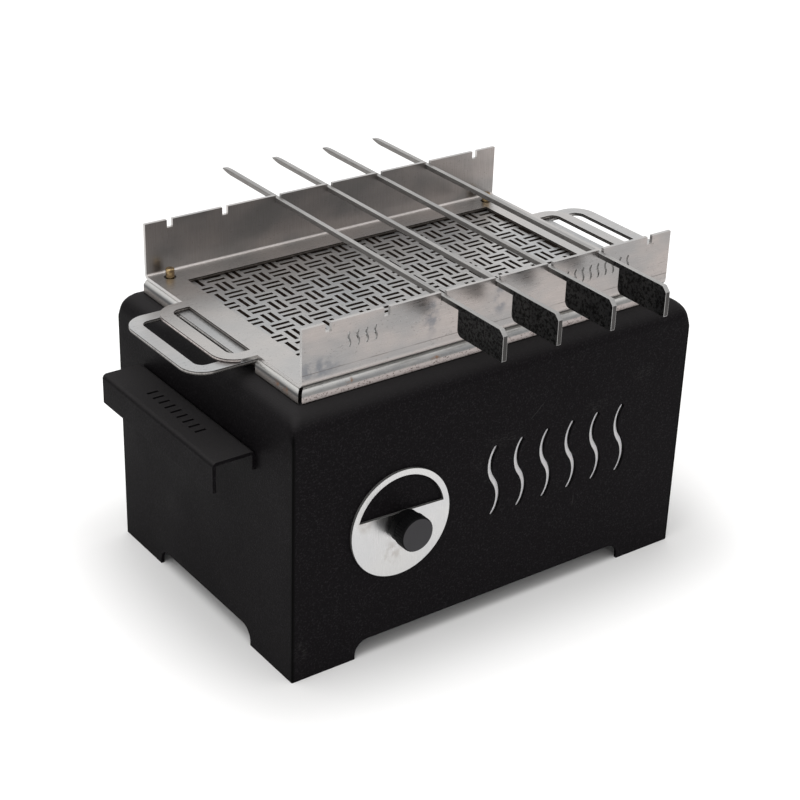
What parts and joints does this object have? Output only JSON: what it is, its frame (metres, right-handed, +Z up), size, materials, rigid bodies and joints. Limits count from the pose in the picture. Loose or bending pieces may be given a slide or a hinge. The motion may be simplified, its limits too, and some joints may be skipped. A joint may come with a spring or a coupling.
{
  "type": "tabletop charcoal grill",
  "caption": "Box-shaped tabletop charcoal grill with a lift-out firebox, woven-slot cooking grate, notched skewer frame, flat skewers and a turning air vent.",
  "frame": {"origin": "on the table, under the middle of the whole grill measured over the grate handles and the skewers", "axes": "+X to the right seen from the front, +Y to the rear, +Z up; the vent faces -Y"},
  "size_m": [0.4768, 0.4078, 0.2972],
  "materials": {
    "black_powder_coat": "matte, fine grain",
    "brushed_stainless": "brushed",
    "heat_darkened_steel": "heat darkened, ground edges",
    "dark_steel": "heat darkened",
    "galvanised_sheet": "galvanised",
    "zinc_fasteners": "zinc plated",
    "black_fasteners": "black oxide",
    "brass": "satin",
    "black_plastic": "moulded, matte",
    "white_fibre_board": "matte fibre board"
  },
  "bodies": {
    "housing": {"outer_housing": "black_powder_coat", "insulation_board": "white_fibre_board", "base_plate": "galvanised_sheet", "corner_brackets": "galvanised_sheet", "base_plate_screws": "zinc_fasteners", "left_carry_handle": "black_powder_coat", "right_carry_handle": "black_powder_coat", "left_handle_bolts": "black_fasteners", "right_handle_bolts": "black_fasteners", "left_handle_nuts": "zinc_fasteners", "right_handle_nuts": "zinc_fasteners"},
    "vent": {"vent_disc": "brushed_stainless", "vent_knob": "black_plastic", "vent_stud": "zinc_fasteners", "vent_washer": "zinc_fasteners", "vent_nut": "zinc_fasteners"},
    "firebox": {"firebox_liner": "brushed_stainless", "front_grate_ledge": "brushed_stainless", "rear_grate_ledge": "brushed_stainless", "front_charcoal_ledge": "brushed_stainless", "rear_charcoal_ledge": "brushed_stainless"},
    "charcoal_tray": {"charcoal_grate": "dark_steel"},
    "grate": {"cooking_grate": "brushed_stainless", "locating_pins": "brass"},
    "frame": {"skewer_frame": "brushed_stainless"},
    "skewer_a": {"skewer_1": "heat_darkened_steel"},
    "skewer_b": {"skewer_2": "heat_darkened_steel"},
    "skewer_c": {"skewer_3": "heat_darkened_steel"},
    "skewer_d": {"skewer_4": "heat_darkened_steel"}
  },
  "joints": [
    {"name": "vent_turn", "type": "hinge", "parent": "housing", "child": "vent", "pos_m": [-0.1, -0.14005, 0.1168], "axis": [0, 1, 0], "continuous": true},
    {"name": "firebox_lift", "type": "slide", "parent": "housing", "child": "firebox", "axis": [0, 0, 1], "range_m": [0, 0.2]},
    {"name": "charcoal_grate_lift", "type": "slide", "parent": "firebox", "child": "charcoal_tray", "axis": [0, 0, 1], "range_m": [0, 0.12]},
    {"name": "cooking_grate_lift", "type": "slide", "parent": "firebox", "child": "grate", "axis": [0, 0, 1], "range_m": [0, 0.12]},
    {"name": "skewer_frame_lift", "type": "slide", "parent": "grate", "child": "frame", "axis": [0, 0, 1], "range_m": [0, 0.1]},
    {"name": "skewer_1_lift", "type": "slide", "parent": "frame", "child": "skewer_a", "axis": [0, 0, 1], "range_m": [0, 0.06]},
    {"name": "skewer_2_lift", "type": "slide", "parent": "frame", "child": "skewer_b", "axis": [0, 0, 1], "range_m": [0, 0.06]},
    {"name": "skewer_3_lift", "type": "slide", "parent": "frame", "child": "skewer_c", "axis": [0, 0, 1], "range_m": [0, 0.06]},
    {"name": "skewer_4_lift", "type": "slide", "parent": "frame", "child": "skewer_d", "axis": [0, 0, 1], "range_m": [0, 0.06]}
  ]
}
